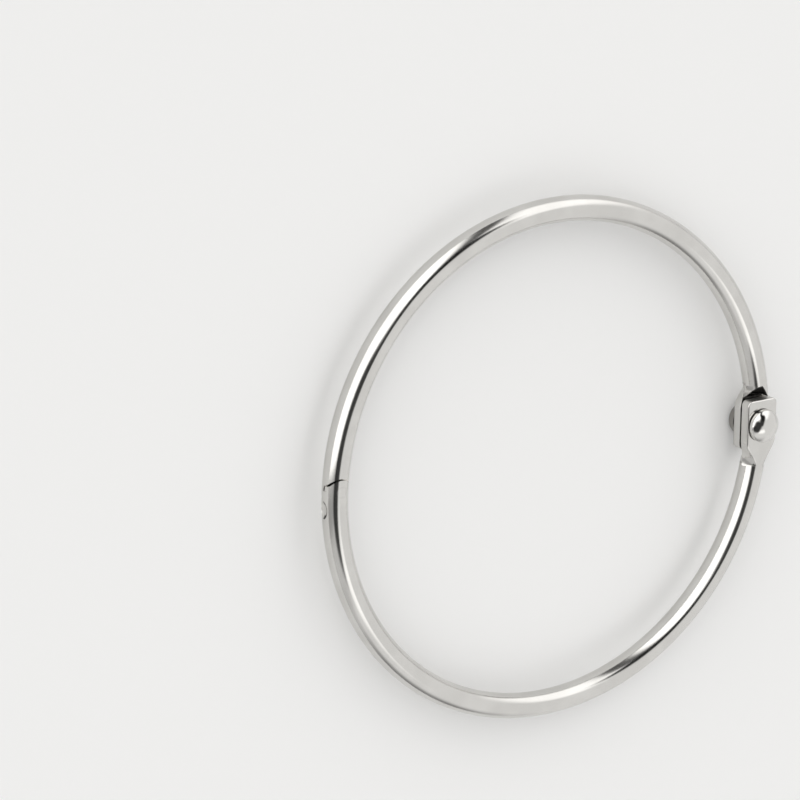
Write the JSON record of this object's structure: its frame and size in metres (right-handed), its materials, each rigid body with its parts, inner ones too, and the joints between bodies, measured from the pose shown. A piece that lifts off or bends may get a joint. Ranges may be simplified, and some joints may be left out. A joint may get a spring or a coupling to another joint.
{
  "type": "shower curtain ring",
  "caption": "Hinged split ring of round steel wire with a flattened, riveted latch that opens to pass over a curtain rod.",
  "frame": {"origin": "centre of the ring, on the wire's middle line and midway through the wire's thickness", "axes": "+Z along the ring's axis, out of the front where the stud's wide head is; +X from the centre to the latch stud; the hinge is at -X"},
  "size_m": [0.0635, 0.063, 0.0059],
  "materials": {
    "satin_steel": "satin nickel-plated steel with a very fine grain",
    "polished_steel": "polished nickel-plated steel"
  },
  "bodies": {
    "lower": {"lower_half": "satin_steel", "hinge_pin": "satin_steel", "latch_stud": "polished_steel"},
    "upper": {"upper_half": "satin_steel"}
  },
  "joints": [
    {"name": "ring_hinge", "type": "hinge", "parent": "lower", "child": "upper", "pos_m": [-0.02996, 0.00147, 0], "axis": [0, 0, 1], "range_deg": [0, 45]}
  ]
}
